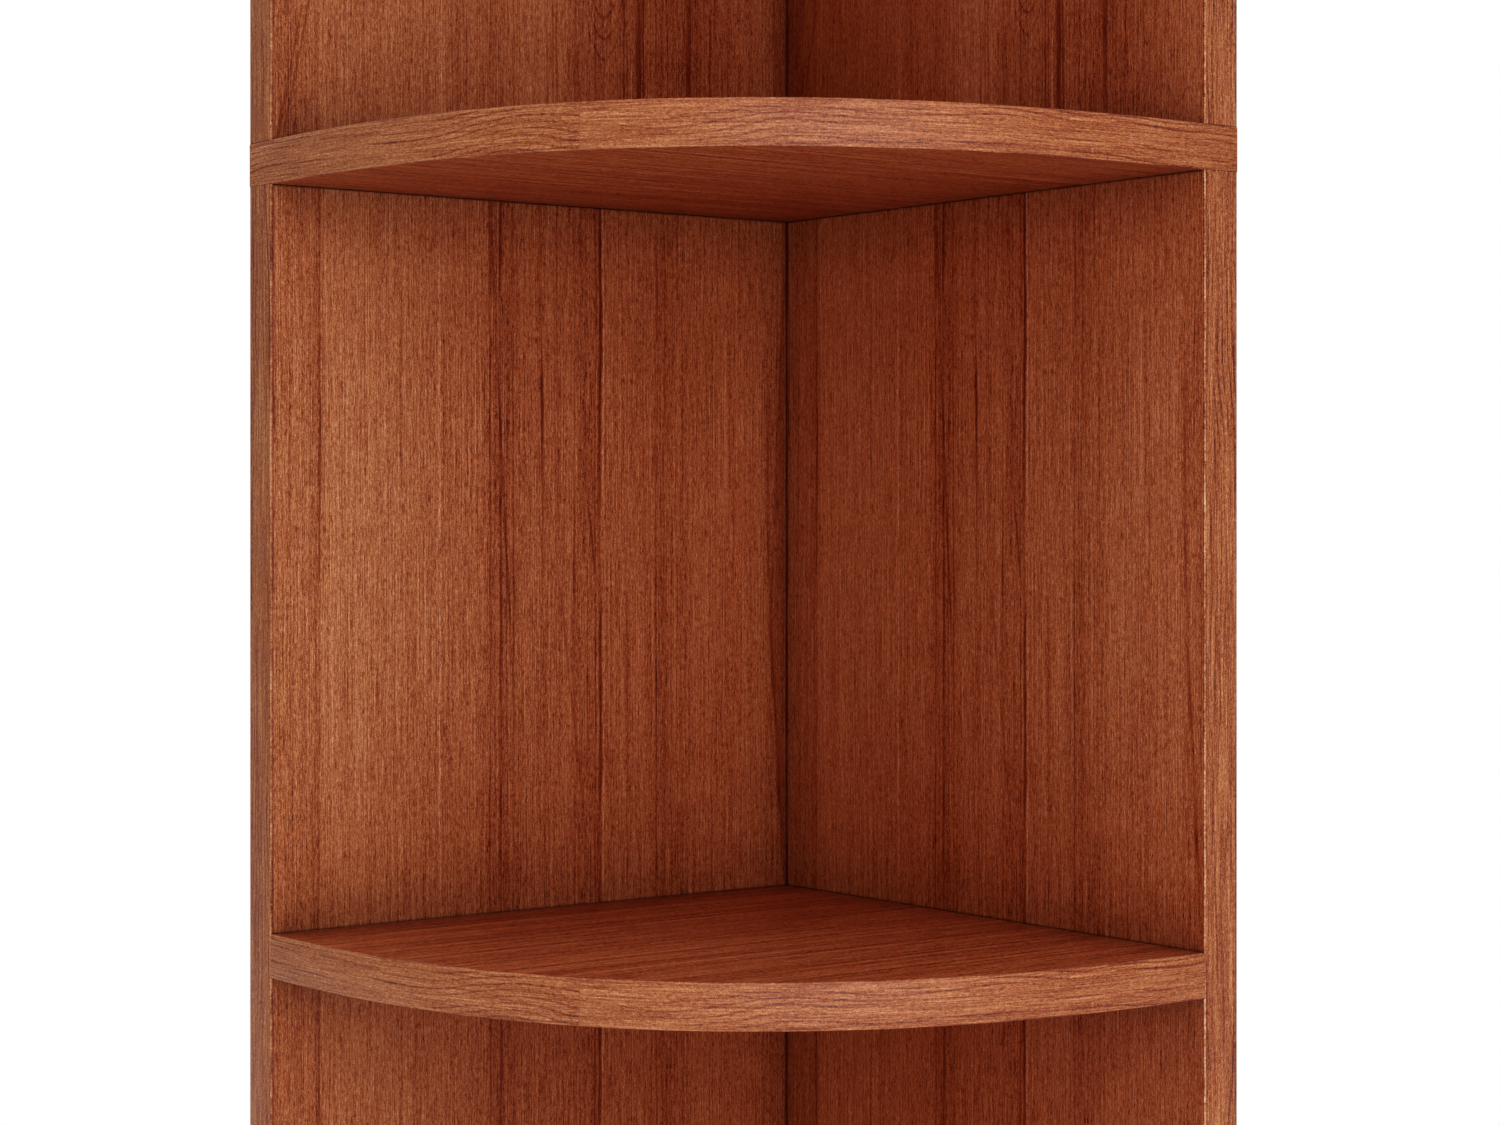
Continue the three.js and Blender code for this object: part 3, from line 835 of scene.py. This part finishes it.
# Painted highlight: a fine pale line lies on the panels' band arrises, on the side of the compartments.
inner_side_sign = add(
    tree,
    "ShaderNodeMapRange",
    (run, *lefts_begin, -1.0, 1.0),
    interpolation_type="SMOOTHSTEP",
)
inward = add(tree, "ShaderNodeMath", (height, inner_side_sign), operation="MULTIPLY")
arris_highlight = add(
    tree,
    "ShaderNodeMapRange",
    (inward, side_at - 0.34, side_at - 0.24),
    interpolation_type="SMOOTHSTEP",
)
arris_highlight_end = add(
    tree,
    "ShaderNodeMapRange",
    (inward, side_at - 0.07, side_at - 0.01, 1.0, 0.0),
    interpolation_type="SMOOTHSTEP",
)
on_panels = add(tree, "ShaderNodeMapRange", (run, *panels_begin), interpolation_type="SMOOTHSTEP")
arris_highlight = add(tree, "ShaderNodeMath", (arris_highlight, arris_highlight_end), operation="MULTIPLY")
arris_highlight = add(tree, "ShaderNodeMath", (arris_highlight, on_panels), operation="MULTIPLY")
strength = add(tree, "ShaderNodeMapRange", (run, *lefts_begin, 1.15, 0.70), interpolation_type="SMOOTHSTEP")
highlighted = add(tree, "ShaderNodeMath", (arris_highlight, strength, 1.0), operation="MULTIPLY_ADD")
tone = add(tree, "ShaderNodeMath", (tone, highlighted), operation="MULTIPLY")
colour = printed(tree, tone, "#aa572b", (1.0, 2.1, 3.0))
gloss = blend(tree, 0.44, (mottle(tree, place, 10, 40, 7.7), 0.10))
relief = add(tree, "ShaderNodeBump", {"Strength": 0.2, "Distance": 0.00004, "Height": tone})
surface(tree, colour, gloss, relief, {"Specular IOR Level": 0.42})
band_arris = 0.6 * mm


def banding_tree():
    """Sweeps a band with rounded outer arrises along a line, and lays its print along it."""
    tree, given, result = new_tree(
        "banding",
        thickness="Float",
        width="Float",
        arris="Float",
        turn="Float",
        lead="Float",
        finish="Material",
    )
    path = add(tree, "GeometryNodeMeshToCurve", {"Mesh": given["geometry"]})
    level = add(tree, "GeometryNodeSetCurveNormal", {"Curve": path}, mode="Z_UP")
    level = add(tree, "GeometryNodeSetCurveTilt", {"Curve": level, "Tilt": given["turn"]})
    run = add(tree, "GeometryNodeSplineParameter")
    on_print = add(tree, "ShaderNodeMath", (run.outputs["Length"], given["lead"]), operation="SUBTRACT")
    ruled = add(
        tree,
        "GeometryNodeStoreNamedAttribute",
        {"Geometry": level, "Name": "run", "Value": on_print},
        data_type="FLOAT",
        domain="POINT",
    )
    section = add(
        tree,
        "GeometryNodeCurvePrimitiveQuadrilateral",
        {"Width": given["thickness"], "Height": given["width"]},
    )
    place = add(tree, "GeometryNodeInputPosition")
    parts = add(tree, "ShaderNodeSeparateXYZ", (place,))
    outer = add(tree, "FunctionNodeCompare", {"A": parts.outputs["X"], "B": 0.0}, operation="GREATER_THAN")
    radius = add(tree, "ShaderNodeMath", (outer, given["arris"]), operation="MULTIPLY")
    rounded = add(
        tree,
        "GeometryNodeFilletCurve",
        {"Curve": section, "Count": 4, "Radius": radius},
        mode="POLY",
    )
    height = add(tree, "GeometryNodeInputPosition")
    high = add(tree, "ShaderNodeSeparateXYZ", (height,))
    marked = add(
        tree,
        "GeometryNodeStoreNamedAttribute",
        {"Geometry": rounded, "Name": "rise", "Value": high.outputs["Y"]},
        data_type="FLOAT",
        domain="POINT",
    )
    swept = add(
        tree,
        "GeometryNodeCurveToMesh",
        {"Curve": ruled, "Profile Curve": marked, "Fill Caps": True},
    )
    closed = add(tree, "GeometryNodeMergeByDistance", {"Geometry": swept, "Distance": 1e-6})
    rise = add(tree, "GeometryNodeInputNamedAttribute", {"Name": "rise"}, data_type="FLOAT")
    length = add(tree, "GeometryNodeInputNamedAttribute", {"Name": "run"}, data_type="FLOAT")
    sheet = add(tree, "ShaderNodeCombineXYZ", {"X": rise, "Y": length})
    laid = add(
        tree,
        "GeometryNodeStoreNamedAttribute",
        {"Geometry": closed, "Name": "sheet", "Value": sheet},
        data_type="FLOAT2",
        domain="CORNER",
    )
    end_tree(tree, laid, given["finish"], result)
    return tree


banding = banding_tree()


def band(piece, width, turn, lead):
    """Sweeps a piece's line into a band. The lead is how much of the print lies before its start."""
    grow(
        piece,
        banding,
        thickness=band_thickness,
        width=width,
        arris=band_arris,
        turn=turn,
        lead=lead,
        finish=edge_band,
    )
    settle(piece)
    mesh = piece.data
    mesh.shade_smooth()
    mesh.set_sharp_from_angle(angle=math.radians(35))


for node in board_nodes:
    low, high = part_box(node)
    full = low.x < room_corner_x - band_thickness
    piece = new_piece(node + "_edging")
    grow(
        piece,
        bow,
        steps=bow_steps,
        side=inner_side,
        exponent=bow_exponent,
        set_back=band_thickness / 2,
        run_on=board_thickness if full else 0.0,
        corner=(room_corner_x, room_corner_y, (low.z + high.z) / 2),
    )
    band(piece, high.z - low.z, 0.0, board_thickness if full else 0.0)
    deliver(piece, [node + "_band"])

# The panels: the same faced board in straight lengths. The left ones run on behind the right ones' ends.
# Their inner edges are sawn and drilled for the screws, dowels, bolts and cams.
panel_nodes = [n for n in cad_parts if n.endswith("_panel")]
raw_arris = 0.25 * mm


def soften(piece, kept):
    """Breaks the arrises of a sawn board, apart from the edges that kept says."""
    edit = bmesh.new()
    edit.from_mesh(piece.data)
    sharp = [e for e in edit.edges if e.calc_face_angle(0) > math.radians(60) and not kept(e)]
    bmesh.ops.bevel(edit, geom=sharp, offset=raw_arris, segments=1, affect="EDGES")
    edit.to_mesh(piece.data)
    edit.free()


for node in panel_nodes:
    low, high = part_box(node)
    left = "left" in node
    corners = [(x, y, z) for z in (low.z, high.z) for y in (low.y, high.y) for x in (low.x, high.x)]
    faces = [(0, 2, 3, 1), (4, 5, 7, 6), (0, 1, 5, 4), (2, 6, 7, 3), (0, 4, 6, 2), (1, 3, 7, 5)]
    panel = new_piece(node + "_faced", corners, faces)
    front = (lambda p: p.y < low.y + 1e-5) if left else (lambda p: p.x > high.x - 1e-5)
    soften(panel, lambda edge: all(front(v.co) for v in edge.verts))
    drill(panel, node)
    if left:
        face_with_print(panel, 0, lambda at: at.y - cad_low.y, lambda at: at.z)
    else:
        face_with_print(panel, 1, lambda at: at.x - room_corner_x, lambda at: at.z, batch=1.0)
    deliver(panel, [node])

# The panels' edge bands: the same edging, glued up the front edge of each panel and trimmed flush with its
# faces.
for node in panel_nodes:
    low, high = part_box(node + "_band")
    middle = (low + high) / 2
    ends = [(middle.x, middle.y, low.z), (middle.x, middle.y, high.z)]
    piece = new_piece(node + "_edging", ends, edges=[(0, 1)])
    left = "left" in node
    turn = math.radians(-90) if left else 0.0
    band(piece, board_thickness, turn, -(left_run if left else right_run) * mm)
    deliver(piece, [node + "_band"])

# The screws: confirmat screws, 7 mm by 50 mm, rolled from steel wire and bright zinc-plated. The head has a
# hexagon socket and lies just below the panel's outer face, and the coarse thread bites in the chips.
# The plate gives a soft bluish mirror, slightly cloudy, with its grain drawn coarser than it is.
zinc_plate, tree = new_material("bright_zinc_plate")
place = solid_place(tree)
cloud = mottle(tree, place, 3.0, 3.0, 1.4)
grain = mottle(tree, place, 0.25, 0.25, 6.1)
colour = add(tree, "ShaderNodeValToRGB", (cloud,))
grade(colour, [(0.35, "#aeb4bb"), (0.5, "#c6cacd"), (0.65, "#cfcdc2")])
gloss = blend(tree, 0.30, (cloud, 0.25), (grain, 0.10))
relief = add(tree, "ShaderNodeBump", {"Strength": 0.15, "Distance": 0.00003, "Height": grain})
surface(tree, colour, gloss, relief, {"Metallic": 1.0})


def thread_tree():
    """Winds a thread round the core that it is given."""
    tree, given, result = new_tree(
        "thread", root="Float", depth="Float", pitch="Float", start="Float", length="Float"
    )
    turns = add(tree, "ShaderNodeMath", (given["length"], given["pitch"]), operation="DIVIDE")
    share = add(tree, "ShaderNodeMath", (given["depth"], 3.0), operation="DIVIDE")
    radius = add(tree, "ShaderNodeMath", (given["root"], share), operation="ADD")
    section_radius = add(tree, "ShaderNodeMath", (share, 2.0), operation="MULTIPLY")
    helix = add(
        tree,
        "GeometryNodeCurveSpiral",
        {
            "Resolution": 14,
            "Rotations": turns,
            "Start Radius": radius,
            "End Radius": radius,
            "Height": given["length"],
        },
    )
    lift = add(tree, "ShaderNodeCombineXYZ", {"Z": given["start"]})
    raised = add(tree, "GeometryNodeSetPosition", {"Geometry": helix, "Offset": lift})
    level = add(tree, "GeometryNodeSetCurveNormal", {"Curve": raised}, mode="Z_UP")
    section = add(tree, "GeometryNodeCurvePrimitiveCircle", {"Resolution": 3, "Radius": section_radius})
    ridge = add(
        tree,
        "GeometryNodeCurveToMesh",
        {"Curve": level, "Profile Curve": section, "Fill Caps": True},
    )
    whole = add(tree, "GeometryNodeJoinGeometry")
    tree.links.new(ridge.outputs[0], whole.inputs[0])
    tree.links.new(given["geometry"], whole.inputs[0])
    tree.links.new(whole.outputs[0], result[0])
    return tree


def setting_tree():
    """Stands a copy of a shape at each point, turned as the point says."""
    tree, given, result = new_tree("setting", shape="Object", finish="Material")
    shape = add(tree, "GeometryNodeObjectInfo", {"Object": given["shape"]})
    turn = add(tree, "GeometryNodeInputNamedAttribute", {"Name": "turn"}, data_type="FLOAT_VECTOR")
    points = add(tree, "GeometryNodeMeshToPoints", {"Mesh": given["geometry"]})
    copies = add(
        tree,
        "GeometryNodeInstanceOnPoints",
        {"Points": points, "Instance": shape.outputs["Geometry"], "Rotation": turn},
    )
    end_tree(tree, copies, given["finish"], result)
    return tree


thread = thread_tree()
setting = setting_tree()


def set_in(name, nodes, shape, finish, turn=lambda node, i: 0.0):
    """Puts a like fastener in the place of each node, as one piece."""
    shape.data.materials.clear()
    shape.data.materials.append(finish)
    piece = new_piece(name, [seat(node)[0].translation for node in nodes])
    turned_by = piece.data.attributes.new("turn", "FLOAT_VECTOR", "POINT")
    for i, node in enumerate(nodes):
        way = seat(node)[0] @ Matrix.Rotation(turn(node, i), 4, "Z")
        turned_by.data[i].vector = way.to_euler()
    grow(piece, setting, shape=shape, finish=finish)
    settle(piece)
    piece.data.shade_smooth()
    piece.data.set_sharp_from_angle(angle=math.radians(32))
    deliver(piece, nodes)


screw_core = 2.4
screw_profile = [
    (0, 3.1),
    (1.9, 2.6, 6),
    (2.0, 0.25, 6),
    (2.35, 0),
    (4.6, 0),
    (4.9, 0.12),
    (5.0, 0.35),
    (5.0, 0.8),
    (3.5, 2.3),
    (3.5, 11.6),
    (screw_core, 12.8),
    (screw_core, 45),
    (1.0, 49.5),
    (0.6, 49.9),
    (0, 50),
]


def scaled(profile):
    """A profile that is written in mm, in metres."""
    return [(radius * mm, height * mm, *sides) for radius, height, *sides in profile]


screw = new_piece("confirmat_screw", *turned(scaled(screw_profile)))
grow(screw, thread, root=screw_core * mm, depth=0.8 * mm, pitch=3 * mm, start=13.2 * mm, length=33 * mm)
settle(screw)
for name, sign in (("shelf_screws", "shelf"), ("corner_screws", "corner_screw"), ("base_screws", "base_")):
    screws = [n for n in fastener_nodes if sign in n and n.endswith(("_screw", "_1", "_2", "_3"))]
    set_in(name, screws, screw, zinc_plate, lambda node, i: i * math.radians(137))
bpy.data.objects.remove(screw)

# The dowels: beech turned to 8 mm, with chamfered ends and flutes pressed along them that let the glue out.
# They place the ends of the panels on the boards between them.
# Beech is pale and matt, with fine fibres along the dowel.
beech, tree = new_material("turned_beech")
place = solid_place(tree)
upright = add(tree, "ShaderNodeVectorMath", (place, (1, 1, 0.08)), operation="MULTIPLY")
fibre = mottle(tree, upright, 0.5, 0.5, 2.2)
colour = add(tree, "ShaderNodeValToRGB", (fibre,))
grade(colour, [(0.3, "#b98d5e"), (0.5, "#d3ad7d"), (0.7, "#dfc096")])
relief = add(tree, "ShaderNodeBump", {"Strength": 0.3, "Distance": 0.0001, "Height": fibre})
gloss = blend(tree, 0.7, (fibre, 0.3))
surface(tree, colour, gloss, relief)

flute_depth_share = 0.06
flute_spacing = 3
for name, sign in (("split_dowels", "split_"), ("top_dowels", "top_")):
    dowels = [n for n in fastener_nodes if n.startswith(sign) and n.endswith("_dowel")]
    length = seat(dowels[0])[1] / mm
    profile = [(0, 0), (2.8, 0), (4.0, 1.2), (4.0, length - 1.2), (2.8, length), (0, length)]
    points, faces = turned(scaled(profile), segments=60)
    for point in points[2 + 60 : 2 + 3 * 60 : flute_spacing]:
        point.xy *= 1 - flute_depth_share
    dowel = new_piece("dowel", points, faces)
    set_in(name, dowels, dowel, beech)
    bpy.data.objects.remove(dowel)

# The cam bolts: zinc-plated steel, with a ribbed collar for the hole in the panel's end and a head for the
# cam. Those of the split board have two heads, and those of the top board are driven into its underside.
bolt_end = [(0, 0), (2.9, 0), (3.4, 0.5), (3.4, 2.1), (3.1, 2.6), (2.2, 2.6)]
collar_ribs = 3
double_bolts = [n for n in fastener_nodes if n.startswith("split_") and n.endswith("_bolt")]
single_bolts = [n for n in fastener_nodes if n.startswith("top_") and n.endswith("_bolt")]
double_length = seat(double_bolts[0])[1] / mm
thread_length = 11
collar_length = 7
whole_length = seat(single_bolts[0])[1] / mm
reach_in = whole_length - thread_length
collar = []
for i in range(collar_ribs):
    foot = reach_in - collar_length + collar_length * i / collar_ribs
    collar += [(3.3, foot), (3.7, foot + 0.4), (3.7, foot + 1.7), (3.3, foot + 2.0)]
half_bolt = bolt_end + [(2.2, reach_in - collar_length)] + collar
mirrored = [(radius, double_length - height) for radius, height in reversed(half_bolt)]
bolt = new_piece("double_bolt", *turned(scaled(half_bolt + mirrored)))
set_in("split_bolts", double_bolts, bolt, zinc_plate)
bpy.data.objects.remove(bolt)
driven = [(3.7, reach_in), (2.1, reach_in), (2.1, reach_in + 9.5), (0.9, whole_length), (0, whole_length)]
bolt = new_piece("single_bolt", *turned(scaled(half_bolt + driven)))
start = (reach_in + 0.6) * mm
grow(bolt, thread, root=2.1 * mm, depth=0.7 * mm, pitch=2.2 * mm, start=start, length=8.6 * mm)
settle(bolt)
set_in("top_bolts", single_bolts, bolt, zinc_plate)
bpy.data.objects.remove(bolt)

# The cams: 15 mm discs die-cast in zinc, left dull. A cross recess in the face turns them, and an arrow
# beside it points at the bolt. Inside, a slot and a chamber take the bolt's neck and head.
# The cast skin is a dull, clouded grey with a fine roughness.
die_cast, tree = new_material("dull_cast_zinc")
place = solid_place(tree)
cloud = mottle(tree, place, 2.2, 2.2, 5.2)
grain = mottle(tree, place, 0.3, 0.3, 2.9)
colour = add(tree, "ShaderNodeValToRGB", (cloud,))
grade(colour, [(0.35, "#85898c"), (0.5, "#9da0a2"), (0.65, "#aeb0b0")])
gloss = blend(tree, 0.48, (cloud, 0.3), (grain, 0.15))
relief = add(tree, "ShaderNodeBump", {"Strength": 0.3, "Distance": 0.00006, "Height": grain})
surface(tree, colour, gloss, relief, {"Metallic": 1.0})


def sink(piece, points, faces):
    """Sinks a shape into a casting, and joins the points that come to lie together."""
    cut_away(piece, points, faces)
    edit = bmesh.new()
    edit.from_mesh(piece.data)
    bmesh.ops.remove_doubles(edit, verts=edit.verts, dist=1e-6)
    edit.to_mesh(piece.data)
    edit.free()


def prism(outline, low, high, top_share=1.0):
    """Points and faces of an upright prism from an outline in mm, with its upper end at a share of it."""
    count = len(outline)
    points = [(x * mm, y * mm, low * mm) for x, y in outline]
    points += [(x * top_share * mm, y * top_share * mm, high * mm) for x, y in outline]
    faces = [tuple(reversed(range(count))), tuple(range(count, 2 * count))]
    faces += [(i, (i + 1) % count, count + (i + 1) % count, count + i) for i in range(count)]
    return points, faces


cams = [n for n in fastener_nodes if n.endswith("_cam")]
cam_depth = seat(cams[0])[1] / mm
cam_profile = [
    (0, 0), (6.6, 0), (7.0, 0.3), (7.2, 0.6), (7.2, 2.0), (6.9, 2.3), (6.9, cam_depth - 0.8),
    (6.4, cam_depth), (0, cam_depth),
]
cam = new_piece("cam", *turned(scaled(cam_profile), segments=60))
past_end = cam_depth + 2
sink(cam, *turned(scaled([(0, 2.8), (4.6, 2.8), (4.6, past_end), (0, past_end)]), segments=48))
sink(cam, *prism([(-2.5, 0), (2.5, 0), (2.5, 9), (-2.5, 9)], 6.3, past_end))
arm, wing = 3.1, 0.75
cross = [
    (arm, -wing), (arm, wing), (wing, wing), (wing, arm), (-wing, arm), (-wing, wing),
    (-arm, wing), (-arm, -wing), (-wing, -wing), (-wing, -arm), (wing, -arm), (wing, -wing),
]
sink(cam, *prism(cross, -1.0, 2.2, 0.7))
sink(cam, *prism([(-1.1, 4.5), (1.1, 4.5), (0, 6.0)], -1.0, 0.3))
set_in("cams", cams, cam, die_cast, lambda node, i: math.pi if "upper" in node else 0.0)
bpy.data.objects.remove(cam)

# The glides: polyethylene pads moulded round a steel nail and knocked into the bottom board's underside.
# Each stands on a rounded rim round a shallow dish, scuffed by the floor.
# The plastic is dark brown and waxy, and paler where it is scuffed.
polyethylene, tree = new_material("moulded_polyethylene")
place = solid_place(tree)
scuffs = mottle(tree, place, 0.5, 6.0, 3.7)
grain = mottle(tree, place, 0.4, 0.4, 8.8)
colour = add(tree, "ShaderNodeValToRGB", (scuffs,))
grade(colour, [(0.35, "#3f2a1d"), (0.6, "#4b3425"), (0.75, "#6d5443")])
gloss = blend(tree, 0.5, (scuffs, 0.4), (grain, 0.1))
relief = add(tree, "ShaderNodeBump", {"Strength": 0.25, "Distance": 0.00005, "Height": grain})
surface(tree, colour, gloss, relief, {"IOR": 1.51})

glides = [n for n in fastener_nodes if n.endswith("_glide")]
pad_profile = [
    (0, 0.9), (3.0, 0.8), (5.0, 0.3), (6.2, 0), (8.2, 0), (9.4, 0.35), (9.85, 0.9), (10.0, 1.6),
    (10.0, 3.4), (9.7, 4.0), (1.2, 4.0), (1.2, 2.0), (0, 2.0),
]
pad = new_piece("pad", *turned(scaled(pad_profile), segments=48))
set_in("glide_pads", glides, pad, polyethylene)
bpy.data.objects.remove(pad)
nail_profile = [(0, 2.0), (1.1, 2.0), (1.1, 13.5), (0.3, 15.7), (0, 16)]
nail = new_piece("nail", *turned(scaled(nail_profile), segments=20))
set_in("glide_nails", glides, nail, zinc_plate)
bpy.data.objects.remove(nail)

# The studio: a pale floor that runs out to white under a white surround, as on a sheet of paper.
# The light is a soft sky overhead and one softbox behind the camera, a little above eye height.
world = bpy.data.worlds.new("white_surround")
bpy.context.scene.world = world
world.use_nodes = True
tree = world.node_tree
tree.nodes.clear()
path = add(tree, "ShaderNodeLightPath")
place = add(tree, "ShaderNodeTexCoord")
height = add(tree, "ShaderNodeSeparateXYZ", (place.outputs["Generated"],))
sky = add(tree, "ShaderNodeMapRange", (height.outputs["Z"], 0, 1, 0.1, 1.05))
soft = add(tree, "ShaderNodeBackground", {"Color": (1, 1, 1, 1), "Strength": sky})
white = add(tree, "ShaderNodeBackground", {"Color": (1, 1, 1, 1), "Strength": 1.0})
mixed = add(tree, "ShaderNodeMixShader", (path.outputs["Is Camera Ray"], soft, white))
add(tree, "ShaderNodeOutputWorld", {"Surface": mixed})

box_width, box_height, box_distance, box_radiance = 1.3, 1.25, 1.4, 1.72
box_middle = 0.92
bearing = math.radians(72)
softbox = bpy.data.lights.new("softbox", "AREA")
softbox.shape = "RECTANGLE"
softbox.size = box_width
softbox.size_y = box_height
softbox.energy = box_radiance * math.pi * box_width * box_height
holder = bpy.data.objects.new("softbox", softbox)
holder.location = (box_distance * math.sin(bearing), -box_distance * math.cos(bearing), box_middle)
holder.rotation_euler = (math.radians(90), 0, bearing)
bpy.context.scene.collection.objects.link(holder)

reach = 6
corners = [(-reach, -reach, 0), (reach, -reach, 0), (reach, reach, 0), (-reach, reach, 0)]
floor = new_piece("floor", corners, [(0, 1, 2, 3)])
floor_paint, tree = new_material("pale_floor")
path = add(tree, "ShaderNodeLightPath")
place = add(tree, "ShaderNodeTexCoord")
away = add(tree, "ShaderNodeVectorMath", (place.outputs["Object"],), operation="LENGTH")
share = add(tree, "ShaderNodeMapRange", (away.outputs["Value"], 0.6, 1.3), interpolation_type="SMOOTHSTEP")
bare = add(tree, "ShaderNodeMath", (share, path.outputs["Is Camera Ray"]), operation="MULTIPLY")
matt = add(tree, "ShaderNodeBsdfDiffuse", {"Color": (0.82, 0.82, 0.82, 1)})
white = add(tree, "ShaderNodeEmission", {"Color": (1, 1, 1, 1), "Strength": 1.0})
mixed = add(tree, "ShaderNodeMixShader", (bare, matt, white))
add(tree, "ShaderNodeOutputMaterial", {"Surface": mixed})
floor.data.materials.append(floor_paint)
